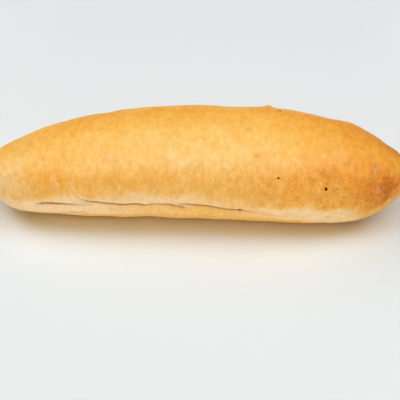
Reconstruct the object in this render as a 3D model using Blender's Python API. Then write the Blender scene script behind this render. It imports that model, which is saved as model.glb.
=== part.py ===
"""A fino loaf: a soft white finger roll, baked golden on top, pale along its sides.

Metres, +Z up. The loaf lies along X on its flat base, its seam side facing -Y. It is one
solid: a UV sphere whose poles become the two tips and whose rings become the loaf's
cross-sections, with the folds, the torn seam and the lumps of the crust raised on it.
"""

import math

import bmesh
import bpy
import numpy as np

# Driving dimensions of the whole loaf.
LENGTH = 0.215
WIDTH = 0.061
HEIGHT = 0.048

# The loaf is thickest right of its middle, and each end narrows in its own way: the
# share of the full section left at s, from 0 there to 1 at the tip, is (1 - s^a)^b.
THICKEST_X = 0.023
LEFT_TAPER = (2.97, 0.405)
RIGHT_TAPER = (3.1, 0.583)

# The underside rises to each tip by this height, along a curve of this power.
LEFT_LIFT = (0.0145, 10.0)
RIGHT_LIFT = (0.0196, 5.4)

BOW = 0.0093  # the tips lie this far in front of the middle
WAIST = 0.42  # level of the widest line, as a share of the height
FLATTENING = 0.0015  # how much of the belly the baking tray has pressed flat
CROWN_POWER = 2.15  # superellipse powers above and below the waist
BELLY_POWER = 2.9

# Places on the crust: X in millimetres, and the angle in degrees from the top line
# towards the seam side. The flap curls down from the crown and runs on as the seam.
SEAM = (
    (-64.5, 44), (-63, 56), (-61, 67), (-58.5, 76), (-55, 81.5), (-50, 85.8), (-42, 89.5),
    (-28, 91.5), (-12, 92.5), (2, 92.8), (12, 97), (21, 99.5), (29, 102), (37, 105), (51, 107),
)
LOWER_TEAR = ((-82, 90.5), (-71, 89.6), (-62, 91), (-50, 92))
TAIL_FOLDS = (
    ((-89, 12), (-87, 34), (-85.4, 72)),
    ((-93, 14), (-91, 34), (-88, 62)),
    ((-97, 30), (-95.5, 50), (-93, 78)),
)

# Each kind of fold, in millimetres: depth of its groove, height of the step up above it,
# width of the groove, and how far the step reaches.
SEAM_FOLD = (1.2, 0.7, 1.3, 5.0)
TEAR_FOLD = (0.9, 0.3, 1.1, 4.0)
TAIL_FOLD = (0.2, 0.4, 1.8, 3.0)

# Bumps and hollows: X in millimetres, degrees from the top line, reach along the loaf and
# around it, and height, in millimetres.
BUMPS = (
    (-95, -40, 7, 14, 0.3),
    (-80, -50, 9, 18, 0.6),
    (-62, -50, 8, 16, 0.25),
    (-46, -50, 5, 16, -0.45),
    (-39, -36, 4, 7, 0.3),
    (18, -50, 12, 18, -0.5),
    (36, -40, 2.2, 3, 1.1),
    (44, -50, 5, 16, -0.4),
    (54, -50, 6, 16, -0.9),
    (66, -50, 8, 16, -0.9),
    (78, -50, 6, 16, 0.75),
    (97, -40, 5, 12, -0.8),
    (-100, 100, 8, 8, -1.45),
    (-70, 125, 14, 14, -2.2),
    (-20, 125, 16, 16, -1.55),
    (80, 125, 12, 12, 0.55),
    (-84, 120, 5, 10, -0.4),
    (-48, 125, 10, 14, -1.25),
    (-13, 125, 7, 14, 0.8),
    (2, 125, 6, 14, -0.4),
    (89, 122, 6, 10, 0.45),
)

# Broad unevenness: waves along the loaf, waves around it, phase, height in millimetres.
WAVES = (
    (3.7, 2, 2.1, 0.10),
    (5.9, 3, 4.0, 0.12),
    (8.3, 2, 1.2, 0.08),
)

FADE_IN = 0.12  # shares of a fold's line over which it rises and dies away
FADE_OUT = 0.2
SMOOTH_TIP = 0.02  # share of the way to a tip left without relief
SMOOTH_FOOT = 0.003  # height above the tray up to which the relief dies away

RINGS = 88
SEGMENTS = 56
CROWDING = 0.7  # 0 spaces the points evenly round the loaf, nearly 1 packs them at the seam
LINE_POINTS = 90  # points along each fold's line
MM_PER_DEGREE = 0.5  # length of one degree round the crust, roughly
MM = 0.001

CRUST_COLOUR = (0.84, 0.50, 0.17, 1.0)
CRUST_ROUGHNESS = 0.55


def smooth_step(value, low, high):
    """0 up to low, 1 from high, and a smooth rise between them."""
    t = np.clip((value - low) / (high - low), 0.0, 1.0)
    return t * t * (3 - 2 * t)


def taper(x):
    """Share of the full cross-section at x, and the share s of the way to that end's tip."""
    left = x < THICKEST_X
    reach = np.where(left, LENGTH / 2 + THICKEST_X, LENGTH / 2 - THICKEST_X)
    s = np.clip(np.abs(x - THICKEST_X) / reach, 0.0, 1.0)
    inner = np.where(left, LEFT_TAPER[0], RIGHT_TAPER[0])
    outer = np.where(left, LEFT_TAPER[1], RIGHT_TAPER[1])
    return (1 - s**inner) ** outer, s


def crust_point(x, angle):
    """Point of the smooth loaf at x, and at this angle from the top towards the front."""
    share, s = taper(x)
    left = x < THICKEST_X
    lift = np.where(left, LEFT_LIFT[0] * s ** LEFT_LIFT[1], RIGHT_LIFT[0] * s ** RIGHT_LIFT[1])
    height = HEIGHT * share
    sine, cosine = np.sin(angle), np.cos(angle)
    above = cosine >= 0
    power = np.where(above, CROWN_POWER, BELLY_POWER)
    radius = (np.abs(sine) ** power + np.abs(cosine) ** power) ** (-1 / power)
    reach = np.where(above, (1 - WAIST) * height, WAIST * height + FLATTENING * share)
    middle = -BOW * (2 * x / LENGTH) ** 2
    y = middle - WIDTH / 2 * share * radius * sine
    z = np.maximum(lift + WAIST * height + reach * radius * cosine, 0.0)
    return np.stack(np.broadcast_arrays(x, y, z), axis=-1)


def line_on_crust(places):
    """A smooth line of points through places on the crust, each an X and an angle."""
    places = np.array(places, float)
    step = np.linalg.norm(np.diff(places * (1.0, MM_PER_DEGREE), axis=0), axis=1)
    along = np.concatenate([[0], np.cumsum(step)])
    fine = np.linspace(0, along[-1], LINE_POINTS)
    x, angle = (smooth_through(along, places[:, i], fine) for i in (0, 1))
    return crust_point(x * MM, np.radians(angle))


def smooth_through(at, values, wanted):
    """Cubic curve through values, its slope at each from that value's two neighbours."""
    slope = np.gradient(values, at)
    i = np.clip(np.searchsorted(at, wanted, side="right") - 1, 0, len(at) - 2)
    width = at[i + 1] - at[i]
    t = (wanted - at[i]) / width
    return (
        values[i] * (1 + 2 * t) * (1 - t) ** 2
        + values[i + 1] * t * t * (3 - 2 * t)
        + slope[i] * width * t * (1 - t) ** 2
        + slope[i + 1] * width * t * t * (t - 1)
    )


def beside_line(points, normals, line):
    """For each point: distance from the line, signed by side, and the place along it, 0 to 1."""
    offset = points[..., None, :] - line
    nearest = np.argmin((offset**2).sum(-1), axis=-1)
    gap = np.take_along_axis(offset, nearest[..., None, None], axis=-2)[..., 0, :]
    tangent = np.gradient(line, axis=0)[nearest]
    side = np.sign((np.cross(normals, tangent) * gap).sum(-1))
    return np.linalg.norm(gap, axis=-1) * side, nearest / (len(line) - 1)


def fold(points, normals, places, kind):
    """Relief of a fold along a line: a groove, and a step up on the side above it."""
    depth, step, width, reach = (value * MM for value in kind)
    distance, along = beside_line(points, normals, line_on_crust(places))
    strength = smooth_step(along, 0.0, FADE_IN) * smooth_step(1 - along, 0.0, FADE_OUT)
    groove = -depth * np.exp(-((distance / width) ** 2))
    raised = step * np.exp(-np.abs(distance) / reach) * np.tanh(distance / width)
    return (groove + raised) * strength


def bump(points, place):
    """Relief of one bump or hollow."""
    x, degrees, reach_x, reach_around, height = place
    centre = crust_point(np.array(x * MM), np.radians(degrees))
    offset = (points - centre) / MM / (reach_x, reach_around, reach_around)
    return height * MM * np.exp(-(offset**2).sum(-1))


def broad_waves(points, angle):
    """Relief of the gentle unevenness of hand-rolled dough."""
    x = points[..., 0]
    relief = np.zeros(points.shape[:-1])
    for along, around, phase, height in WAVES:
        wave = np.sin(2 * math.pi * along * x / LENGTH + phase) * np.cos(around * angle + phase)
        relief += height * MM * wave
    return relief


def relief(points, normals, angle):
    """How far each point of the smooth loaf moves out along its normal."""
    total = broad_waves(points, angle)
    total += fold(points, normals, SEAM, SEAM_FOLD)
    total += fold(points, normals, LOWER_TEAR, TEAR_FOLD)
    for places in TAIL_FOLDS:
        total += fold(points, normals, places, TAIL_FOLD)
    for place in BUMPS:
        total += bump(points, place)
    off_tip = smooth_step(1 - taper(points[..., 0])[1], 0.0, SMOOTH_TIP)
    off_tray = smooth_step(points[..., 2], 0.0, SMOOTH_FOOT)
    return total * off_tip * off_tray


def ring_angles(x):
    """Angles round one cross-section, starting at the level of the seam and closest there."""
    low_seam = LOWER_TEAR + SEAM[6:]
    start = np.interp(x / MM, *np.array(low_seam).T)
    turn = np.linspace(0, 2 * math.pi, SEGMENTS, endpoint=False)
    return math.radians(start) + turn - CROWDING * np.sin(turn)


def loaf_grid():
    """Every point of the loaf's skin, as rings of points from the left tip to the right."""
    turn = np.linspace(0, math.pi, RINGS + 1)
    x = -LENGTH / 2 * np.cos(turn)
    angle = np.array([ring_angles(station) for station in x])
    points = crust_point(x[:, None], angle)
    along = np.gradient(points, axis=0)
    around = np.roll(points, -1, axis=1) - np.roll(points, 1, axis=1)
    normals = np.cross(around, along)
    normals /= np.maximum(np.linalg.norm(normals, axis=-1, keepdims=True), 1e-12)
    points = points + normals * relief(points, normals, angle)[..., None]
    points[..., 2] = np.maximum(points[..., 2], 0.0)
    low, high = points.min(axis=(0, 1)), points.max(axis=(0, 1))
    points[..., :2] -= (low + high)[:2] / 2
    return points


def make_material():
    material = bpy.data.materials.new("baked_crust")
    material.use_nodes = True
    shader = material.node_tree.nodes["Principled BSDF"]
    shader.inputs["Base Color"].default_value = CRUST_COLOUR
    shader.inputs["Roughness"].default_value = CRUST_ROUGHNESS
    shader.inputs["Metallic"].default_value = 0.0
    return material


def make_loaf(collection):
    """The sphere's poles lie on its Z, so its height sets the ring and its turn the place in it."""
    grid = loaf_grid()
    mesh = bpy.data.meshes.new("loaf")
    sphere = bmesh.new()
    bmesh.ops.create_uvsphere(sphere, u_segments=SEGMENTS, v_segments=RINGS, radius=1.0)
    for vertex in sphere.verts:
        x, y, z = vertex.co
        ring = round((1 - math.acos(max(-1.0, min(1.0, z))) / math.pi) * RINGS)
        place = round(math.atan2(y, x) / (2 * math.pi) * SEGMENTS) % SEGMENTS
        vertex.co = grid[ring, place]
    bmesh.ops.recalc_face_normals(sphere, faces=sphere.faces)
    sphere.to_mesh(mesh)
    sphere.free()
    mesh.materials.append(make_material())
    mesh.shade_smooth()
    loaf = bpy.data.objects.new("loaf", mesh)
    collection.objects.link(loaf)
    return loaf


def main():
    for old in list(bpy.data.objects):
        bpy.data.objects.remove(old, do_unlink=True)
    collection = bpy.data.collections.new("fino_loaf")
    bpy.context.scene.collection.children.link(collection)
    make_loaf(collection)


main()
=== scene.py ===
"""A fino loaf: a soft white finger roll with a golden crust, a pale torn side and a darker tip.

The frame's loaf is replaced by a finer skin of the same form: a closed grid of rings along X,
raised by folds, tears, bumps, dimples and burst bubbles, with the marks of baking, painted shade
and painted highlight kept as attributes that the crust's material reads. Lengths are
millimetres unless a comment says otherwise, and angles are degrees from the top line towards
the seam side.
"""

import math

import bpy
import numpy as np
from mathutils import Matrix, Vector, noise


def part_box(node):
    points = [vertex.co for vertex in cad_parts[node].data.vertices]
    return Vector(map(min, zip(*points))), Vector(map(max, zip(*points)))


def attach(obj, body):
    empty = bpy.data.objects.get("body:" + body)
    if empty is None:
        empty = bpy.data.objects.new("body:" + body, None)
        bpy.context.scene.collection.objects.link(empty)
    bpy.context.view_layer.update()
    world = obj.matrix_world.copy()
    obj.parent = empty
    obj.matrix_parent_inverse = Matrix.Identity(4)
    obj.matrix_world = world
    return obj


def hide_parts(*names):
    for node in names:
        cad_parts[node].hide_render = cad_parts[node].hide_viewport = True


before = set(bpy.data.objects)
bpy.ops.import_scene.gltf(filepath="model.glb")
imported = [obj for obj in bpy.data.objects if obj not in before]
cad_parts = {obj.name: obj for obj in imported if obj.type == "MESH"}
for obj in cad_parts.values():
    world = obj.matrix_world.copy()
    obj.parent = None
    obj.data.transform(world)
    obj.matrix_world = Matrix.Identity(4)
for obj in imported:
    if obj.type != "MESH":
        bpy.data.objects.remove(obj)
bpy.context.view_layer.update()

MM = 0.001
LOW, HIGH = (np.array(corner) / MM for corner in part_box("loaf"))
LENGTH = HIGH[0] - LOW[0]
# Width and height of the full cross-section.
WIDTH = 61.0
HEIGHT = 48.0

# The share of the full section left at s, from 0 at the thickest place to 1 at a tip, is
# (1 - s^a)^b.
THICKEST_X = 23.0
LEFT_TAPER = (2.97, 0.405)
RIGHT_TAPER = (3.1, 0.583)
# How high each tip rises off the tray, and the power of s that it rises with.
LEFT_LIFT = (14.5, 10.0)
RIGHT_LIFT = (19.6, 5.4)
# How far both tips bend towards the front.
BOW = 9.3
# Share of the height at which the section is widest, how far the belly would reach below the
# tray if it weren't flat there, and how square the section is above and below.
WAIST = 0.42
FLATTENING = 1.5
CROWN_POWER = 2.15
BELLY_POWER = 2.9

# Folds and tears. Each place is X, angle, the depth of the groove there and the height of
# the lip above it.
SEAM = (
    (-65.3, 40, 0.0, 0.0),
    (-64, 48, 0.0, 0.15),
    (-62.4, 60.5, 0.05, 0.35),
    (-61, 68.6, 0.08, 0.45),
    (-58, 78.9, 0.3, 0.5),
    (-53, 85.9, 0.75, 0.55),
    (-49.6, 87.2, 1.2, 0.5),
    (-44, 89.6, 1.5, 0.45),
    (-36, 91.8, 1.7, 0.45),
    (-29, 91.7, 1.4, 0.5),
    (-25.5, 94.0, 0.75, 0.5),
    (-21.9, 92.7, 0.6, 0.5),
    (-14, 92.3, 0.7, 0.4),
    (-9.5, 94.8, 0.8, 0.3),
    (-7, 97.0, 0.7, 0.2),
    (-4.5, 96.5, 0.0, 0.0),
)
SEAM_RIGHT = (
    (-11.5, 89, 0.0, 0.1),
    (-8, 89.7, 0.4, 0.2),
    (-3.5, 91.2, 0.8, 0.4),
    (5.6, 93.4, 0.8, 0.5),
    (12, 97.1, 1.3, 0.6),
    (16, 99.2, 1.5, 0.6),
    (21.2, 99.5, 0.9, 0.5),
    (25.1, 100.7, 0.5, 0.4),
    (32.8, 104.3, 0.35, 0.3),
    (44, 107, 0.15, 0.15),
    (56, 108, 0.0, 0.0),
)
LOWER_TEAR = (
    (-82, 91.0, 0.0, 0.0),
    (-78, 90.6, 0.7, 0.2),
    (-73.3, 89.6, 1.4, 0.4),
    (-68.8, 89.6, 1.4, 0.4),
    (-65.3, 90.3, 0.75, 0.3),
    (-60.4, 91.5, 0.5, 0.2),
    (-56, 92.1, 0.35, 0.1),
    (-49, 91.8, 0.0, 0.0),
)
TAIL_FOLDS = (
    ((-90.5, 12, 0, 0), (-89.8, 19, 0.1, 0.3), (-88.2, 33, 0.2, 0.5), (-86.7, 46, 0.2, 0.5),
        (-85.3, 67, 0.1, 0.3), (-85.5, 78, 0, 0)),
    ((-93, 20, 0, 0), (-91.5, 35, 0.15, 0.35), (-90.4, 44, 0.15, 0.35), (-89.6, 53, 0, 0.1)),
    ((-101, 66, 0.3, 0.6), (-97.7, 60, 0.5, 0.9), (-94.9, 51.5, 0.4, 0.7), (-92.2, 47, 0.15, 0.3),
        (-90, 46, 0, 0)),
)
WRINKLES = (
    ((-73, 45, 0, 0), (-71.8, 53.6, 0.15, 0.35), (-70.2, 60, 0.2, 0.5), (-68, 66, 0.15, 0.4),
        (-66.8, 71, 0, 0)),
    ((-73.4, 54, 0, 0), (-72.4, 59, 0.1, 0.25), (-71.2, 62.5, 0.1, 0.3), (-70, 65.7, 0, 0)),
    ((28, 96, 0, 0), (34, 97, 0.15, 0.15), (42, 99.5, 0.15, 0.15), (52, 101, 0, 0)),
)
# The tear and then the seam from left to right, where no other line lies below them.
LOWEST_LINE = LOWER_TEAR[1:-1] + SEAM[7:14] + SEAM_RIGHT[3:]

# Width of the groove and reach of the lip above it.
TEAR_PROFILE = (0.6, 5)
TAIL_PROFILE = (1.0, 2.5)
WRINKLE_PROFILE = (0.9, 2.0)

# How far each line wavers, in degrees, and the waves it does so in: turn for each millimetre,
# phase and share.
SEAM_WAVER = 0.2
RIGHT_WAVER = 0.15
TEAR_WAVER = 0.15
WAVER_WAVES = ((0.61, 0.0, 1.0), (1.37, 1.0, 0.6))
LINE_POINTS = 140
MM_PER_DEGREE = 0.5

# How far a point may lie past a line's end, or in or out of the loaf from it, at no cost, and
# how many times the rest of the way in or out counts.
FREE_ALONG = 0.8
FREE_THROUGH = 3.0
THROUGH_COUNTS = 3

# Groove depths where painted shade comes in; lip heights where the pale edge and painted
# highlight do.
DARK_GROOVE = (0.0, 1.0)
PALE_LIP = (0.15, 0.6)

# Bumps and hollows: X, angle, reach along the loaf and around it, height.
BUMPS = (
    (-95, -40, 7, 14, 0.3),
    (-80, -50, 9, 18, 0.6),
    (-62, -50, 8, 16, 0.25),
    (-46, -50, 5, 16, -0.45),
    (-39, -36, 4, 7, 0.3),
    (18, -50, 12, 18, -0.5),
    (36, -40, 2.2, 3, 1.1),
    (44, -50, 5, 16, -0.4),
    (54, -50, 6, 16, -0.9),
    (66, -50, 8, 16, -0.9),
    (78, -50, 6, 16, 0.75),
    (97, -40, 5, 12, -0.8),
    (-100, 100, 8, 8, -1.45),
    (-70, 125, 14, 14, -2.2),
    (-20, 125, 16, 16, -1.55),
    (80, 125, 12, 12, 0.55),
    (-84, 120, 5, 10, -0.4),
    (-48, 125, 10, 14, -1.25),
    (-13, 125, 7, 14, 0.8),
    (2, 125, 6, 14, -0.4),
    (89, 122, 6, 10, 0.45),
    (-56.4, 67, 1.3, 1.2, 0.25),
)
# The open mouth of the lower tear, and the flake between the two runs of the seam.
TEAR_MOUTH = (-71.0, 91.2, 5.4, 0.9, -1.1)
FLAKE = (-7.4, 91.8, 2.8, 0.7, 0.7)

# Waves along the loaf, waves around it, phase and height.
WAVES = (
    (3.7, 2, 2.1, 0.10),
    (5.9, 3, 4.0, 0.12),
    (8.3, 2, 1.2, 0.08),
)
# Soft dimples, then finer wrinkles: their size along and around the loaf, and height.
GRAIN = (
    ((5.0, 7.0), 0.10),
    ((1.7, 2.6), 0.05),
)
# The share of the way from a tip, and the height above the tray, over which relief comes in.
SMOOTH_TIP = 0.02
SMOOTH_FOOT = 3.0

# Burst bubbles in the crust: X, angle, radius, depth, and how dark the painted shade inside is.
PITS = (
    (62.6, 65.9, 0.75, 1.1, 1.0),
    (63.0, 64.7, 0.6, 0.8, 1.0),
    (63.5, 59.8, 0.45, 0.4, 0.55),
    (59.2, 60.9, 0.4, 0.2, 0.3),
    (66.5, 67.5, 0.6, 0.2, 0.25),
    (68.3, 64.9, 0.6, 0.2, 0.25),
    (39.3, 58.4, 0.65, 0.8, 0.9),
    (37.8, 58.4, 0.45, 0.2, 0.25),
    (35.1, 65.5, 0.5, 0.4, 0.3),
    (71.6, 74.8, 0.5, 0.4, 0.5),
    (-75.7, 29.6, 0.5, 0.5, 0.35),
    (21.4, 100.3, 0.88, 0.4, 1.0),
    (41.5, -27.0, 1.0, 0.6, 1.0),
    (65.2, 106.9, 0.45, 0.4, 0.4),
    (3.2, 21, 0.45, 0.3, 0.3),
    (6.6, 61.5, 0.4, 0.4, 0.4),
)

# The skin's rings along the loaf and places around it, how closely the places crowd at the
# seam, and how closely the rings crowd at the middle.
RINGS = 450
SEGMENTS = 216
CROWDING = 0.7
MIDDLE_CROWDING = 0.3


def smooth_step(value, low, high):
    """0 up to low, 1 from high, and a smooth rise between them."""
    t = np.clip((value - low) / (high - low), 0.0, 1.0)
    return t * t * (3 - 2 * t)


# ---------------------------------------------------------------- form of the loaf


def taper(x):
    """Share of the full cross-section at x, and the share s of the way to that end's tip."""
    left = x < THICKEST_X
    reach = np.where(left, LENGTH / 2 + THICKEST_X, LENGTH / 2 - THICKEST_X)
    s = np.clip(np.abs(x - THICKEST_X) / reach, 0.0, 1.0)
    inner = np.where(left, LEFT_TAPER[0], RIGHT_TAPER[0])
    outer = np.where(left, LEFT_TAPER[1], RIGHT_TAPER[1])
    return (1 - s**inner) ** outer, s


def crust_point(x, angle):
    """Point of the smooth loaf at x, and at this angle from the top towards the front."""
    share, s = taper(x)
    left = x < THICKEST_X
    lift = np.where(left, LEFT_LIFT[0] * s ** LEFT_LIFT[1], RIGHT_LIFT[0] * s ** RIGHT_LIFT[1])
    height = HEIGHT * share
    sine, cosine = np.sin(angle), np.cos(angle)
    above = cosine >= 0
    power = np.where(above, CROWN_POWER, BELLY_POWER)
    radius = (np.abs(sine) ** power + np.abs(cosine) ** power) ** (-1 / power)
    reach = np.where(above, (1 - WAIST) * height, WAIST * height + FLATTENING * share)
    middle = -BOW * (2 * x / LENGTH) ** 2
    y = middle - WIDTH / 2 * share * radius * sine
    z = np.maximum(lift + WAIST * height + reach * radius * cosine, 0.0)
    return np.stack(np.broadcast_arrays(x, y, z), axis=-1)


def smooth_through(at, values, wanted):
    """Cubic curve through values, its slope at each from that value's two neighbours."""
    slope = np.gradient(values, at)
    i = np.clip(np.searchsorted(at, wanted, side="right") - 1, 0, len(at) - 2)
    width = at[i + 1] - at[i]
    t = (wanted - at[i]) / width
    return (
        values[i] * (1 + 2 * t) * (1 - t) ** 2
        + values[i + 1] * t * t * (3 - 2 * t)
        + slope[i] * width * t * (1 - t) ** 2
        + slope[i + 1] * width * t * t * (t - 1)
    )


class Crease:
    """A fold or tear: its line over the crust, and where every point of the loaf lies from it."""

    def __init__(self, points, normals, places, waver=0.0):
        places = np.array(places, float)
        step = np.linalg.norm(np.diff(places[:, :2] * (1.0, MM_PER_DEGREE), axis=0), axis=1)
        along = np.concatenate([[0], np.cumsum(step)])
        fine = np.linspace(0, along[-1], LINE_POINTS)
        x, angle = (smooth_through(along, places[:, i], fine) for i in (0, 1))
        angle = angle + waver * sum(
            share * np.sin(fine * turn + phase) for turn, phase, share in WAVER_WAVES
        )
        line = crust_point(x, np.radians(angle))
        self.find_distance(points, normals, line)
        depth, lip = (np.interp(fine, along, places[:, i])[self.nearest] for i in (2, 3))
        self.depth, self.lip = depth, lip

    def find_distance(self, points, normals, line):
        """Distance from the line, above it on the loaf being positive."""
        best = np.full(points.shape[:-1], np.inf)
        self.nearest = np.zeros(points.shape[:-1], int)
        for i, place in enumerate(line):
            squared = ((points - place) ** 2).sum(-1)
            closer = squared < best
            best[closer] = squared[closer]
            self.nearest[closer] = i
        gap = points - line[self.nearest]
        tangent = np.gradient(line, axis=0)[self.nearest]
        tangent /= np.linalg.norm(tangent, axis=-1, keepdims=True)
        across = (np.cross(normals, tangent) * gap).sum(-1)
        beyond = np.maximum(np.abs((tangent * gap).sum(-1)) - FREE_ALONG, 0.0)
        through = np.maximum(np.abs((normals * gap).sum(-1)) - FREE_THROUGH, 0.0)
        squared = across**2 + beyond**2 + (THROUGH_COUNTS * through) ** 2
        self.distance = np.sign(across) * np.sqrt(squared)

    def groove(self, width):
        return self.depth * np.exp(-((self.distance / width) ** 2))

    def relief(self, width, reach):
        """The groove, and the step up to the lip above it."""
        step = np.exp(-np.abs(self.distance) / reach) * np.tanh(self.distance / width)
        return self.lip * step - self.groove(width)

    def line_mark(self, offset, width):
        """1 on the line where its groove is deep, fading to the sides: where the painted shade
        goes.
        """
        deep = smooth_step(self.depth, *DARK_GROOVE)
        return deep * np.exp(-(((self.distance - offset) / width) ** 2))

    def lip_mark(self, offset, width):
        """1 on the edge above the line where its lip is high: the pale edge and its painted
        highlight.
        """
        high = smooth_step(self.lip, *PALE_LIP)
        return high * np.exp(-(((self.distance - offset) / width) ** 2))


def oval(points, x, degrees, reach_x, reach_around):
    """1 at a place on the crust, falling off to 0 around it."""
    centre = crust_point(np.array(float(x)), np.radians(degrees))
    offset = (points - centre) / (reach_x, reach_around, reach_around)
    return np.exp(-(offset**2).sum(-1))


def nearest_place(points, x, degrees):
    """Index of the point nearest to a place on the crust."""
    gap = ((points - crust_point(np.array(float(x)), np.radians(degrees))) ** 2).sum(-1)
    return np.unravel_index(np.argmin(gap), gap.shape)


def broad_waves(points, angle):
    """Relief of the gentle unevenness of hand-rolled dough."""
    total = np.zeros(points.shape[:-1])
    for along, around, phase, height in WAVES:
        wave = np.sin(2 * math.pi * along * points[..., 0] / LENGTH + phase)
        total += height * wave * np.cos(around * angle + phase)
    return total


def smooth_noise(points, lengths):
    """Smooth noise about 0 over the loaf, its features this long in X, Y and Z."""
    flat = (points / lengths).reshape(-1, 3)
    field = np.array([noise.noise(Vector(place)) for place in flat])
    return field.reshape(points.shape[:-1])


def crust_grain(points):
    """Relief of the crust's skin: soft dimples, and finer wrinkles that run round the loaf."""
    total = np.zeros(points.shape[:-1])
    for (along, around), height in GRAIN:
        total += height * smooth_noise(points, (along, around, around))
    return total


def ring_angles(x):
    """Angles round one cross-section, starting at the level of the seam and closest there."""
    start = np.interp(x, *zip(*(place[:2] for place in LOWEST_LINE)))
    turn = np.linspace(0, 2 * math.pi, SEGMENTS, endpoint=False)
    return math.radians(start) + turn - CROWDING * np.sin(turn)


def loaf_grid():
    """Points, outward normals and angles of the smooth loaf, ring by ring."""
    even = np.linspace(0, 1, RINGS + 1)
    turn = math.pi * even + MIDDLE_CROWDING / 2 * np.sin(2 * math.pi * even)
    x = -LENGTH / 2 * np.cos(turn)
    angle = np.array([ring_angles(station) for station in x])
    points = crust_point(x[:, None], angle)
    along = np.gradient(points, axis=0)
    around = np.roll(points, -1, axis=1) - np.roll(points, 1, axis=1)
    normals = np.cross(around, along)
    normals /= np.maximum(np.linalg.norm(normals, axis=-1, keepdims=True), 1e-12)
    return points, normals, angle


def raised_skin():
    """The loaf's points with all relief, its marks of baking and painted light, and where its
    pits are.
    """
    points, normals, angle = loaf_grid()
    seam = Crease(points, normals, SEAM, SEAM_WAVER)
    seam_right = Crease(points, normals, SEAM_RIGHT, RIGHT_WAVER)
    tear = Crease(points, normals, LOWER_TEAR, TEAR_WAVER)
    tails = [Crease(points, normals, places) for places in TAIL_FOLDS]
    wrinkles = [Crease(points, normals, places) for places in WRINKLES]
    total = broad_waves(points, angle) + crust_grain(points)
    for crease in (seam, seam_right, tear):
        total += crease.relief(*TEAR_PROFILE)
    for crease in tails:
        total += crease.relief(*TAIL_PROFILE)
    for crease in wrinkles:
        total += crease.relief(*WRINKLE_PROFILE)
    for x, degrees, reach_x, reach_around, height in BUMPS + (TEAR_MOUTH, FLAKE):
        total += height * oval(points, x, degrees, reach_x, reach_around)
    for x, degrees, radius, depth, _ in PITS:
        total -= depth * oval(points, x, degrees, radius, radius)
    pits = [nearest_place(points, *place[:2]) for place in PITS]
    off_tip = smooth_step(1 - taper(points[..., 0])[1], 0.0, SMOOTH_TIP)
    off_tray = smooth_step(points[..., 2], 0.0, SMOOTH_FOOT)
    degrees = (np.degrees(angle) + 180) % 360 - 180
    marks = {
        "bake": bake_of(points, degrees),
        "pale": pale_of(points, seam, seam_right, tear, tails, wrinkles),
        "dark": dark_of(points, seam, seam_right, tear),
        "ochre": np.clip(oval_sum(points, SCORCHES), 0, 1),
        "painted_shade_and_light": oval_sum(points, PAINTED_SHADE_AND_LIGHT),
        "blisters": blisters_of(points, degrees),
    }
    points = points + normals * (total * off_tip * off_tray)[..., None]
    points[..., 2] = np.maximum(points[..., 2], 0.0)
    low, high = points.min(axis=(0, 1)), points.max(axis=(0, 1))
    points[..., :2] -= (low + high)[:2] / 2
    mouths = [points[at] + normals[at] * pit[3] / 2 for at, pit in zip(pits, PITS)]
    return points, marks, mouths


# ---------------------------------------------------------------- marks of baking and painted light

# How far the crust is baked, by angle round the middle of the loaf: 0 cream, 1 brown.
BAKE_ROUND = (
    (-180, 0.60), (-125, 0.56), (-108, 0.36), (-95, 0.30), (-80, 0.42), (-50, 0.56),
    (-20, 0.63), (0, 0.54), (14, 0.42), (28, 0.40), (45, 0.39), (58, 0.42), (70, 0.40),
    (80, 0.39), (120, 0.40), (180, 0.60),
)
# How much further it is baked along the loaf.
BAKE_ALONG = (
    (-108, -0.16), (-96, -0.10), (-85, 0.0), (-60, 0.03), (-30, 0.0), (10, -0.01), (30, 0.03),
    (50, 0.14), (75, 0.24), (92, 0.31), (108, 0.36),
)
# How much further again on the front below the crown, where the right end is brownest.
BAKE_LOW_RIGHT = ((30, 0.0), (50, 0.05), (66, 0.02), (80, 0.04), (95, 0.12), (108, 0.12))
# How far the left and the right tip are baked.
TIPS_BAKED = (0.36, 0.84)
# The pale side, where the dough tore as it rose: by X, the angles where it starts and ends,
# and how far it is baked.
PALE_SIDE = (
    (-104, 86, 126, 0.20), (-92, 84, 122, 0.06), (-78, 77, 120, 0.0), (-62, 74, 118, -0.04),
    (-50, 77, 116, 0.04), (-30, 73, 116, 0.0), (-14, 77, 115, 0.05), (2, 77, 114, 0.10),
    (14, 80, 114, 0.17), (26, 86.5, 115, 0.15), (40, 89.5, 116, 0.08), (60, 87, 120, 0.0),
    (74, 87, 124, 0.05), (82, 98, 124, 0.30), (90, 102, 118, 0.45), (96, 92, 115, 0.52),
    (104, 84, 112, 0.55),
)
# The crust below the tear, which caught more heat: by X, how much further it is baked.
LOWER_LIP = ((-50, 0.0), (-34, 0.16), (-16, 0.24), (10, 0.22), (26, 0.12), (40, 0.0))
# The angles where the browning along the loaf, that low on the front and that below the tear
# are gone, and the angles where they are full.
ALONG_FADES = (150, 90)
LOW_COMES_IN = (44, 70)
LOW_FADES = (175, 130)
BELOW_TEAR = (90, 96)
# How many degrees the pale side's edge swings, and over what lengths in X, Y and Z.
RAGGED = ((5, (9.0, 7.0, 7.0)), (3, (2.2, 3.0, 3.0)))
# How many degrees from its start, and then from its end, it is gone and it is full.
PALE_COMES_IN = (-4, 12)
PALE_FADES = (5, -3)
# How much further the mouth of the lower tear is browned as painted shade inside it, over what
# part of its oval, and the share of the way from a tip over which the tip's own baking fades.
MOUTH_PAINTED_SHADE = 0.6
MOUTH_EDGE = (0.2, 0.6)
TIP_FADES = 0.09
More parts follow.
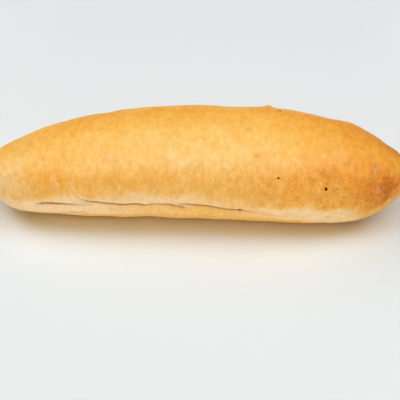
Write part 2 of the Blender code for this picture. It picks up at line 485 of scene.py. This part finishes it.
# Ochre flecks and stains: X, angle, reach along and around, strength.
SCORCHES = (
    (25.5, 10.0, 1.9, 0.7, 0.85),
    (23.2, -6.0, 1.2, 0.7, 0.45),
    (29, 37.6, 1.4, 1.1, 0.8),
    (16.6, 2.1, 1.0, 0.6, 0.25),
    (-70.8, -0.4, 1.5, 0.7, 0.6),
    (-83.9, 2, 1.0, 1.6, 0.35),
    (48.8, 24.1, 0.9, 0.7, 0.3),
    (81.0, 12.9, 1.0, 0.9, 0.5),
    (80.6, 37.4, 0.8, 0.7, 0.35),
    (56.7, 48.2, 0.8, 0.6, 0.35),
    (59.2, 47.5, 0.8, 0.6, 0.45),
    (60.6, 49.6, 1.4, 0.9, 0.95),
    (63.4, 53.0, 0.9, 0.9, 1.0),
    (-62, 112, 2.6, 1.0, 0.6),
    (-57, 111, 2.2, 0.8, 0.45),
)
# Browner patches: X, angle, reach along and around, how much further they are baked.
BROWNED = (
    (76, 56, 5.0, 3.2, 0.05),
    (67, 47, 5.0, 2.6, 0.10),
    (48, 66, 3.0, 4.0, 0.06),
    (95.4, 70, 8.0, 10.0, 0.20),
    (-67.3, 53, 1.4, 3.5, 0.12),
    (-65.8, 61, 1.3, 3.0, 0.12),
    (-74.2, 56, 1.6, 3.5, 0.08),
    (-56, 62, 7.0, 4.0, 0.05),
    (-47, 61, 6.0, 3.0, 0.05),
    (-36.3, 28.7, 1.5, 2.0, 0.08),
    (-32.8, 33.6, 1.5, 1.5, 0.06),
    (-32.8, 68, 5.0, 2.0, 0.05),
    (-12.7, 64, 2.4, 2.0, 0.07),
    (-15, 75, 2.0, 1.0, 0.08),
    (8, 68, 2.0, 1.4, 0.06),
    (-8.6, 32.2, 0.8, 2.0, 0.08),
    (-3.8, 34, 0.8, 2.0, 0.10),
    (-5.5, 37, 0.8, 1.6, 0.07),
    (78, 38, 16.0, 8.0, 0.06),
    (60, 50, 14.0, 8.0, 0.07),
    (-85, -35, 18.0, 12.0, -0.08),
    (72, -16, 34.0, 14.0, -0.07),
    (-98, 58, 9.0, 10.0, -0.14),
    (-72, 52, 10.0, 7.0, 0.09),
    (-20, -18, 45.0, 9.0, 0.05),
    (-99, 22, 8.0, 12.0, 0.17),
    (-98, 87, 9.0, 4.0, 0.05),
    (56, 97, 12.0, 2.0, 0.12),
    (-97, 54, 5.0, 3.0, -0.12),
    (-86, 62, 6.0, 7.0, -0.07),
    (-10, 45, 8.0, 4.0, -0.07),
    (68, 69, 8.0, 5.0, -0.09),
    (101, 20, 5.0, 14.0, -0.07),
    (94, 75, 9.0, 10.0, 0.06),
    (-78, 46, 7.0, 4.0, 0.07),
    (99, 84, 6.0, 5.0, -0.20),
    (35, 100.5, 9.0, 0.9, 0.16),
)

# Painted shade and light: the ends are painted dimmer and the crust below the seam brighter.
# Dimmer and brighter patches: X, angle, reach along and around, and the share of the
# brightness they lose.
PAINTED_SHADE_AND_LIGHT = (
    (-95, 45, 22.0, 22.0, 0.05),
    (85, 45, 22.0, 22.0, 0.07),
    (90, 95, 15.0, 13.0, 0.10),
    (-95, 100, 14.0, 14.0, 0.01),
    (-20, 102, 50.0, 6.0, -0.06),
    (52, 100, 24.0, 4.0, -0.04),
)


def oval_sum(points, places):
    """The ovals of a table added up, each with the strength in its last column."""
    return sum(place[4] * oval(points, *place[:4]) for place in places)


def bake_of(points, degrees):
    """How far the crust is baked, from 0 for cream to 1 for brown."""
    x = points[..., 0]
    bake = np.interp(degrees, *zip(*BAKE_ROUND))
    bake += np.interp(x, *zip(*BAKE_ALONG)) * smooth_step(np.abs(degrees), *ALONG_FADES)
    low_front = smooth_step(degrees, *LOW_COMES_IN) * smooth_step(degrees, *LOW_FADES)
    bake += np.interp(x, *zip(*BAKE_LOW_RIGHT)) * low_front
    bake += oval_sum(points, BROWNED)
    places, start, end, paleness = zip(*PALE_SIDE)
    start, end, paleness = (np.interp(x, places, column) for column in (start, end, paleness))
    ragged = degrees
    for swing, lengths in RAGGED:
        ragged = ragged + swing * smooth_noise(points, lengths)
    inside = smooth_step(ragged, *(start + by for by in PALE_COMES_IN))
    inside *= smooth_step(ragged, *(end + by for by in PALE_FADES))
    lower = smooth_step(degrees, *BELOW_TEAR) * np.interp(x, *zip(*LOWER_LIP))
    bake = bake * (1 - inside) + inside * (paleness + lower)
    # Painted shade: the open mouth of the lower tear is browned to stand for the shade inside it.
    bake += MOUTH_PAINTED_SHADE * smooth_step(oval(points, *TEAR_MOUTH[:4]), *MOUTH_EDGE)
    from_tip = smooth_step(1 - taper(x)[1], 0.0, TIP_FADES)
    return bake * from_tip + np.where(x < 0, *TIPS_BAKED) * (1 - from_tip)


# How blistered the crust is everywhere, low on the front, there at the right end, and on the
# front of the crown at the right end; then the angles and the X where these are gone and full.
BLISTERS = (0.2, 0.3, 0.5, 0.2)
BLISTERS_LOW = ((34, 62), (104, 88))
BLISTERS_RIGHT = (-10, 70)
BLISTERS_CROWN = (10, 40)


def blisters_of(points, degrees):
    """How blistered and rough the crust is: most on the lower front and toward the right tip."""
    low = math.prod(smooth_step(degrees, *limits) for limits in BLISTERS_LOW)
    right = smooth_step(points[..., 0], *BLISTERS_RIGHT)
    crown = smooth_step(degrees, *BLISTERS_CROWN)
    everywhere, low_share, low_right_share, crown_share = BLISTERS
    return everywhere + low * (low_share + low_right_share * right) + crown_share * right * crown


# Soft pale places on the crown: X, angle, reach along and around, strength.
PALE_PLACES = (
    (-54.3, 8.3, 1.2, 1.2, 0.4),
    (-48.9, 7.6, 1.0, 1.0, 0.3),
    (-49.4, 27, 1.4, 2.0, 0.15),
    (-47.3, 22.5, 1.0, 2.0, 0.2),
    (-42.3, 35.7, 1.3, 1.3, 0.25),
    (-12.8, 31, 1.3, 4.0, 0.18),
    (-12.8, 38, 1.5, 3.0, 0.18),
    (-6.8, 45.9, 3.6, 1.6, 0.3),
    (15.2, 22.8, 0.9, 0.9, 0.4),
    (14, 47.7, 0.9, 0.9, 0.35),
    (15.3, 49.6, 0.8, 0.8, 0.35),
    (24.3, 34.5, 1.8, 1.2, 0.25),
    (34, 30.5, 5.0, 0.9, 0.25),
    (39.2, 41.5, 4.0, 0.8, 0.18),
    (48.3, 40.2, 2.5, 2.0, 0.15),
    (61.6, 31.7, 1.2, 1.2, 0.25),
    (69.6, 30.5, 5.0, 4.0, 0.12),
    (33.4, 52.5, 1.8, 1.2, 0.2),
    (34.1, 84.6, 0.8, 1.4, 0.3),
    (39.1, 85.5, 0.8, 2.0, 0.35),
    (56.4, 82.9, 2.4, 0.8, 0.4),
    (67.8, 60.7, 1.6, 1.0, 0.3),
    (59.2, 67.7, 0.7, 0.7, 0.35),
    (86.8, 42.5, 0.7, 1.6, 0.3),
    (88.2, 36.3, 0.6, 1.2, 0.3),
    (95.5, 44.9, 0.6, 1.4, 0.3),
    (89.4, 67.2, 2.2, 1.6, 0.2),
    (-56.4, 67, 1.1, 1.0, 0.3),
    (-7.4, 93.6, 3.0, 0.9, 0.8),
    (-22.6, 94.6, 2.6, 0.8, 0.4),
    (32, 96, 11.0, 1.0, 0.45),
    (44, 103, 12.0, 0.8, 0.3),
)


# Partly pale torn dough and flour, partly a painted highlight on the lips and fold crests.
# The pale edge above each kind of crease: strength, distance above the line, and width.
SEAM_EDGE = (0.75, 1.1, 0.8)
RIGHT_EDGE = (0.75, 1.1, 0.9)
TEAR_EDGE = (0.4, 0.8, 0.7)
TAIL_EDGE = (0.7, 0.4, 1.0)
WRINKLE_EDGE = (0.6, 0.7, 1.0)
FLAKE_PALENESS = 0.8
# How strong the flour and painted highlight are on the edges on average, how much they vary,
# and over what lengths in X, Y and Z.
FLOUR_AND_HIGHLIGHT = 0.9
FLOUR_AND_HIGHLIGHT_SWING = 1.2
FLOUR_AND_HIGHLIGHT_LENGTHS = (2.0, 2.5, 2.5)

# Painted shade: the bottoms of the tears and the crust under the seam's overhanging lip are
# darkened.
# The shade along each line, and the fainter one under the seam: strength, distance above the
# line, and width.
SEAM_SHADE = (0.68, -0.2, 0.85)
RIGHT_SHADE = (0.63, -0.25, 0.8)
UNDER_SHADE = (0.04, -1.7, 1.5)
TEAR_SHADE = (0.74, -0.15, 0.8)
MOUTH_SHADE = 0.3
MOUTH_SHADE_EDGE = (0.3, 0.7)


def pale_edges(creases, strength, offset, width):
    """The pale edges of creases of one kind: pale dough with a painted highlight."""
    return strength * sum(crease.lip_mark(offset, width) for crease in creases)


def shades(creases, strength, offset, width):
    """The painted shade in creases of one kind."""
    return strength * sum(crease.line_mark(offset, width) for crease in creases)


def pale_of(points, seam, seam_right, tear, tails, wrinkles):
    """1 on flour-pale torn edges and on the tail's fold crests, partly painted highlight, 0 away.
    """
    total = pale_edges([seam], *SEAM_EDGE) + pale_edges([seam_right], *RIGHT_EDGE)
    total += pale_edges([tear], *TEAR_EDGE)
    total += FLAKE_PALENESS * oval(points, *FLAKE[:4])
    total += pale_edges(tails, *TAIL_EDGE)
    total += pale_edges(wrinkles, *WRINKLE_EDGE)
    total *= FLOUR_AND_HIGHLIGHT + FLOUR_AND_HIGHLIGHT_SWING * smooth_noise(points, FLOUR_AND_HIGHLIGHT_LENGTHS)
    total += oval_sum(points, PALE_PLACES)
    return np.clip(total, 0, 1)


def dark_of(points, seam, seam_right, tear):
    """Painted shade in the bottom of the tears and under the seam's lip, 0 away from them."""
    total = shades([seam], *SEAM_SHADE) + shades([seam_right], *RIGHT_SHADE)
    total += shades([seam, seam_right], *UNDER_SHADE)
    total += shades([tear], *TEAR_SHADE)
    total += MOUTH_SHADE * smooth_step(oval(points, *TEAR_MOUTH[:4]), *MOUTH_SHADE_EDGE)
    return np.clip(total, 0, 1)


# ---------------------------------------------------------------- mesh


def skin_mesh(points, marks):
    """A closed mesh of the rings, with one point for each tip."""
    rings, segments = points.shape[0] - 2, points.shape[1]
    body = points[1:-1].reshape(-1, 3)
    corners = np.concatenate([body, points[:1, 0], points[-1:, 0]]) * MM
    first = np.arange(rings - 1)[:, None] * segments + np.arange(segments)
    side = np.arange(rings - 1)[:, None] * segments + (np.arange(segments) + 1) % segments
    quads = np.stack([first, first + segments, side + segments, side], -1).reshape(-1, 4)
    start, end = rings * segments, rings * segments + 1
    here, there = np.arange(segments), (np.arange(segments) + 1) % segments
    last = (rings - 1) * segments
    fans = [(start, int(a), int(b)) for a, b in zip(here, there)]
    fans += [(end, last + int(b), last + int(a)) for a, b in zip(here, there)]
    mesh = bpy.data.meshes.new("loaf_skin")
    mesh.from_pydata(corners.tolist(), [], quads.tolist() + fans)
    for name, values in marks.items():
        attribute = mesh.attributes.new(name, "FLOAT", "POINT")
        flat = np.concatenate([values[1:-1].ravel(), values[0, :1], values[-1, :1]])
        attribute.data.foreach_set("value", flat.astype(np.float32))
    mesh.shade_smooth()
    mesh.validate()
    return mesh


# ---------------------------------------------------------------- material


class Nodes:
    """Adds nodes to one material, each taking its inputs by name."""

    def __init__(self, material):
        material.use_nodes = True
        self.tree = material.node_tree
        self.shader = self.tree.nodes["Principled BSDF"]

    def add(self, kind, settings=None, **inputs):
        node = self.tree.nodes.new(kind)
        for name, value in (settings or {}).items():
            setattr(node, name, value)
        for name, value in inputs.items():
            self.feed(node, name.replace("_", " "), value)
        return node

    def feed(self, node, name, value):
        socket = node.inputs[int(name) if name.isdigit() else name]
        if isinstance(value, bpy.types.NodeSocket):
            self.tree.links.new(value, socket)
        else:
            socket.default_value = value

    def math(self, operation, *values):
        node = self.add("ShaderNodeMath", {"operation": operation})
        for index, value in enumerate(values):
            self.feed(node, str(index), value)
        return node.outputs[0]

    def scale(self, vector, factor):
        """A vector or colour times one number, or times one number an axis."""
        even = isinstance(factor, bpy.types.NodeSocket)
        node = self.add("ShaderNodeVectorMath", {"operation": "SCALE" if even else "MULTIPLY"})
        self.feed(node, "0", vector)
        self.feed(node, "3" if even else "1", factor)
        return node.outputs[0]

    def step(self, value, low, high):
        """0 at low, 1 at high, and a smooth change between them."""
        node = self.add("ShaderNodeMapRange", {"interpolation_type": "SMOOTHSTEP"})
        for name, number in (("Value", value), ("From Min", low), ("From Max", high)):
            self.feed(node, name, number)
        return node.outputs[0]

    def mix(self, factor, first, second):
        """From the first colour to the second; sockets 6, 7 and the output 2 hold colours."""
        node = self.add("ShaderNodeMix", {"data_type": "RGBA"})
        for index, value in ((0, factor), (6, first), (7, second)):
            self.feed(node, str(index), value)
        return node.outputs[2]

    def ball(self, place, centre, radius):
        """1 well inside a ball round centre, 0 outside it."""
        node = self.add("ShaderNodeVectorMath", {"operation": "DISTANCE"})
        self.feed(node, "0", place)
        self.feed(node, "1", centre)
        return self.step(node.outputs["Value"], *(share * radius for share in PIT_EDGE))

    def mark(self, name):
        return self.add("ShaderNodeAttribute", {"attribute_name": name}).outputs["Fac"]

    def noise(self, place):
        node = self.add("ShaderNodeTexNoise", Scale=1.0, Detail=2.0, Roughness=0.5)
        self.tree.links.new(place, node.inputs["Vector"])
        return node.outputs["Fac"]

    def ramp(self, factor, stops):
        node = self.add("ShaderNodeValToRGB", Fac=factor)
        elements = node.color_ramp.elements
        while len(elements) < len(stops):
            elements.new(0.5)
        for element, (position, colour) in zip(elements, stops):
            element.position = position
            element.color = (*colour, 1.0)
        return node.outputs["Color"]


CRUST_COLOURS = (
    (0.00, (0.90, 0.71, 0.46)),
    (0.22, (0.89, 0.62, 0.27)),
    (0.42, (0.87, 0.518, 0.132)),
    (0.56, (0.87, 0.45, 0.085)),
    (0.70, (0.85, 0.38, 0.048)),
    (0.86, (0.77, 0.28, 0.026)),
    (1.00, (0.60, 0.17, 0.013)),
)
PALE_COLOUR = (0.90, 0.71, 0.46, 1.0)
SPECK_COLOUR = (0.95, 0.62, 0.26, 1.0)
# Colour of the painted shade in the tears and under the seam's lip.
PAINTED_SHADE_COLOUR = (0.28, 0.085, 0.008, 1.0)
# Colour of the painted shade inside the burst bubbles.
PIT_SHADE_COLOUR = (0.42, 0.05, 0.0)
OCHRE_COLOUR = (0.62, 0.29, 0.004, 1.0)

# The shares of a pit's radius where its colour starts and where it is full, and how bright
# that colour is in a pit of no darkness.
PIT_EDGE = (1.2, 0.8)
PIT_BRIGHTNESS = 1.1

# Noise over the crust: features per metre along and around the loaf, then how much it
# swings the baking and how much the brightness.
BROAD_NOISE = (110, 90, 0.28, 0.08)
STREAK_NOISE = (380, 240, 0.26, 0.22)
GRAIN_NOISE = (1100, 800, 0.14, 0.22)
# How strong the noise is on a smooth crust, and how much stronger on a blistered one.
SMOOTH_STRENGTH = 0.8
BLISTERED_STRENGTH = 0.5

# Specks for each metre in X, Y and Z; then the noise where light and dark ones start and are
# full, and how far they colour the crust.
SPECK_SCALE = (1000, 850, 850)
LIGHT_SPECKS = (0.56, 0.74)
LIGHT_STRENGTH = 0.5
DARK_SPECKS = (0.42, 0.26)
DARK_STRENGTH = 0.3

ROUGHNESS = 0.5
SPECULAR = 0.2
SUBSURFACE = 0.1
# How deep red, green and blue light goes, in metres.
SUBSURFACE_RADIUS = (0.004, 0.002, 0.0008)

# How much the streaks, the grain and the light specks raise the surface, and by how many
# metres in all.
STREAK_HEIGHT = 0.6
GRAIN_HEIGHT = 0.3
SPECK_HEIGHT = 0.3
BUMP_STRENGTH = 0.5
BUMP_DISTANCE = 0.0005


def uneven_baking(nodes, place, blisters):
    """How far the crust is baked and how bright it is, and the noise that varies both."""
    unevenness = nodes.math("MULTIPLY_ADD", blisters, BLISTERED_STRENGTH, SMOOTH_STRENGTH)
    bake = nodes.mark("bake")
    # Painted shade and light from the dimmer and brighter patches.
    brightness = nodes.math("SUBTRACT", 1.0, nodes.mark("painted_shade_and_light"))
    fields = []
    for along, around, bake_swing, bright_swing in (BROAD_NOISE, STREAK_NOISE, GRAIN_NOISE):
        field = nodes.noise(nodes.scale(place, (along, around, around)))
        about_zero = nodes.math("MULTIPLY", nodes.math("SUBTRACT", field, 0.5), unevenness)
        bake = nodes.math("MULTIPLY_ADD", about_zero, bake_swing, bake)
        brightness = nodes.math("MULTIPLY_ADD", about_zero, -bright_swing, brightness)
        fields.append(field)
    return bake, brightness, fields


def with_pits(nodes, place, colour, pits):
    """The crust's colour with painted shade inside the burst bubbles."""
    for (_, _, radius, _, darkness), centre in zip(PITS, pits):
        ball = nodes.ball(place, centre * MM, radius * MM)
        inside = [channel * (PIT_BRIGHTNESS - darkness) for channel in PIT_SHADE_COLOUR]
        colour = nodes.mix(nodes.math("MULTIPLY", ball, darkness), colour, (*inside, 1.0))
    return colour


def crust_material(pits):
    material = bpy.data.materials.new("baked_crust_scene")
    nodes = Nodes(material)
    place = nodes.add("ShaderNodeTexCoord").outputs["Object"]
    blisters = nodes.mark("blisters")
    bake, brightness, (_, streaks, grain) = uneven_baking(nodes, place, blisters)
    colour = nodes.ramp(bake, CRUST_COLOURS)
    # Pale torn edges and fold crests: partly pale dough, partly painted highlight.
    colour = nodes.mix(nodes.mark("pale"), colour, PALE_COLOUR)
    specks = nodes.noise(nodes.scale(place, SPECK_SCALE))
    light_specks = nodes.math("MULTIPLY", nodes.step(specks, *LIGHT_SPECKS), blisters)
    dark_specks = nodes.math("MULTIPLY", nodes.step(specks, *DARK_SPECKS), blisters)
    colour = nodes.mix(nodes.math("MULTIPLY", light_specks, LIGHT_STRENGTH), colour, SPECK_COLOUR)
    colour = nodes.mix(nodes.math("MULTIPLY", dark_specks, DARK_STRENGTH), colour, OCHRE_COLOUR)
    colour = nodes.mix(nodes.mark("ochre"), colour, OCHRE_COLOUR)
    # Painted shade in the tears and under the seam's lip.
    colour = nodes.mix(nodes.mark("dark"), colour, PAINTED_SHADE_COLOUR)
    colour = with_pits(nodes, place, nodes.scale(colour, brightness), pits)
    nodes.feed(nodes.shader, "Base Color", colour)
    nodes.feed(nodes.shader, "Roughness", ROUGHNESS)
    nodes.feed(nodes.shader, "Specular IOR Level", SPECULAR)
    nodes.feed(nodes.shader, "Subsurface Weight", SUBSURFACE)
    nodes.feed(nodes.shader, "Subsurface Radius", SUBSURFACE_RADIUS)
    nodes.feed(nodes.shader, "Subsurface Scale", 1.0)
    fine = nodes.math("MULTIPLY", grain, GRAIN_HEIGHT)
    height = nodes.math("MULTIPLY_ADD", streaks, STREAK_HEIGHT, fine)
    height = nodes.math("MULTIPLY_ADD", light_specks, SPECK_HEIGHT, height)
    bump = nodes.add(
        "ShaderNodeBump", Strength=BUMP_STRENGTH, Distance=BUMP_DISTANCE, Height=height
    )
    nodes.feed(nodes.shader, "Normal", bump.outputs["Normal"])
    return material


def make_loaf():
    points, marks, pits = raised_skin()
    mesh = skin_mesh(points, marks)
    mesh.materials.append(crust_material(pits))
    loaf = bpy.data.objects.new("loaf_skin", mesh)
    bpy.context.scene.collection.objects.link(loaf)
    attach(loaf, "root")
    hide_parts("loaf")


# ---------------------------------------------------------------- studio

FLOOR_SIZE = 60.0  # metres
FLOOR_COLOUR = (0.77, 0.82, 0.875, 1.0)
FLOOR_ROUGHNESS = 0.25
FLOOR_SPECULAR = 0.8

# The two colours of the lights, one a little blue and one orange.
COOL = (0.9, 0.96, 1.0)
WARM = (1.0, 0.75, 0.42)
# Azimuth and elevation of each light's direction, in degrees, azimuth turning from the front
# (-Y) to the right (+X); its apparent width in degrees; its strength; and its colour.
KEYS = (
    (130.0, 66.0, 30.0, 0.56, COOL),
    (105.0, 45.0, 30.0, 1.02, COOL),
    (-110.0, 66.0, 30.0, 0.97, COOL),
    (-125.0, 35.0, 30.0, 0.92, COOL),
    (-50.0, 22.0, 30.0, 0.1, COOL),
    (0.0, 60.0, 60.0, 1.02, WARM),
)
FRONT = (-5.0, 4.0, 8.0, 1.03, WARM)
SHEEN = (0.0, 65.0, 50.0, 4.2, (1.0, 1.0, 1.0))
WORLD_STRENGTH = 0.04


def make_floor():
    bpy.ops.mesh.primitive_plane_add(size=FLOOR_SIZE)
    floor = bpy.context.object
    floor.name = "floor"
    material = bpy.data.materials.new("pale_floor")
    material.use_nodes = True
    shader = material.node_tree.nodes["Principled BSDF"]
    shader.inputs["Base Color"].default_value = FLOOR_COLOUR
    shader.inputs["Roughness"].default_value = FLOOR_ROUGHNESS
    shader.inputs["Specular IOR Level"].default_value = FLOOR_SPECULAR
    floor.data.materials.append(material)


def direction(azimuth, elevation):
    """Unit vector towards a place in the sky."""
    turn, rise = math.radians(azimuth), math.radians(elevation)
    level = math.cos(rise)
    return Vector((math.sin(turn) * level, -math.cos(turn) * level, math.sin(rise)))


def make_light(name, azimuth, elevation, width, strength, colour):
    data = bpy.data.lights.new(name, "SUN")
    data.angle = math.radians(width)
    data.energy = strength
    data.color = colour
    light = bpy.data.objects.new(name, data)
    light.rotation_euler = direction(azimuth, elevation).to_track_quat("Z", "Y").to_euler()
    bpy.context.scene.collection.objects.link(light)
    return light


def make_studio():
    make_floor()
    for number, place in enumerate(KEYS):
        make_light(f"key_{number}", *place).visible_glossy = False
    make_light("front", *FRONT).visible_glossy = False
    make_light("sheen", *SHEEN).visible_diffuse = False
    world = bpy.data.worlds.new("studio")
    world.use_nodes = True
    background = world.node_tree.nodes["Background"]
    background.inputs["Color"].default_value = (1.0, 1.0, 1.0, 1.0)
    background.inputs["Strength"].default_value = WORLD_STRENGTH
    bpy.context.scene.world = world


# Lengths here are metres, but the sensor and the focal length are millimetres.
CAMERA_TARGET = Vector((0.0014, -0.0063, 0.0))
CAMERA_DISTANCE = 0.476
CAMERA_ELEVATION = 44.6
CAMERA_TURN = 0.82
SENSOR = 36.0
FOCAL_LENGTH = 81.4


def make_camera():
    data = bpy.data.cameras.new("camera")
    data.sensor_width = SENSOR
    data.lens = FOCAL_LENGTH
    camera = bpy.data.objects.new("camera", data)
    back = direction(CAMERA_TURN, CAMERA_ELEVATION)
    turn = math.radians(CAMERA_TURN)
    right = Vector((math.cos(turn), math.sin(turn), 0.0))
    up = back.cross(right)
    camera.matrix_world = Matrix.Translation(CAMERA_TARGET + back * CAMERA_DISTANCE) @ Matrix(
        (right, up, back)
    ).transposed().to_4x4()
    bpy.context.scene.collection.objects.link(camera)
    bpy.context.scene.camera = camera


make_loaf()
make_studio()
make_camera()
bpy.context.scene.view_settings.view_transform = "Standard"
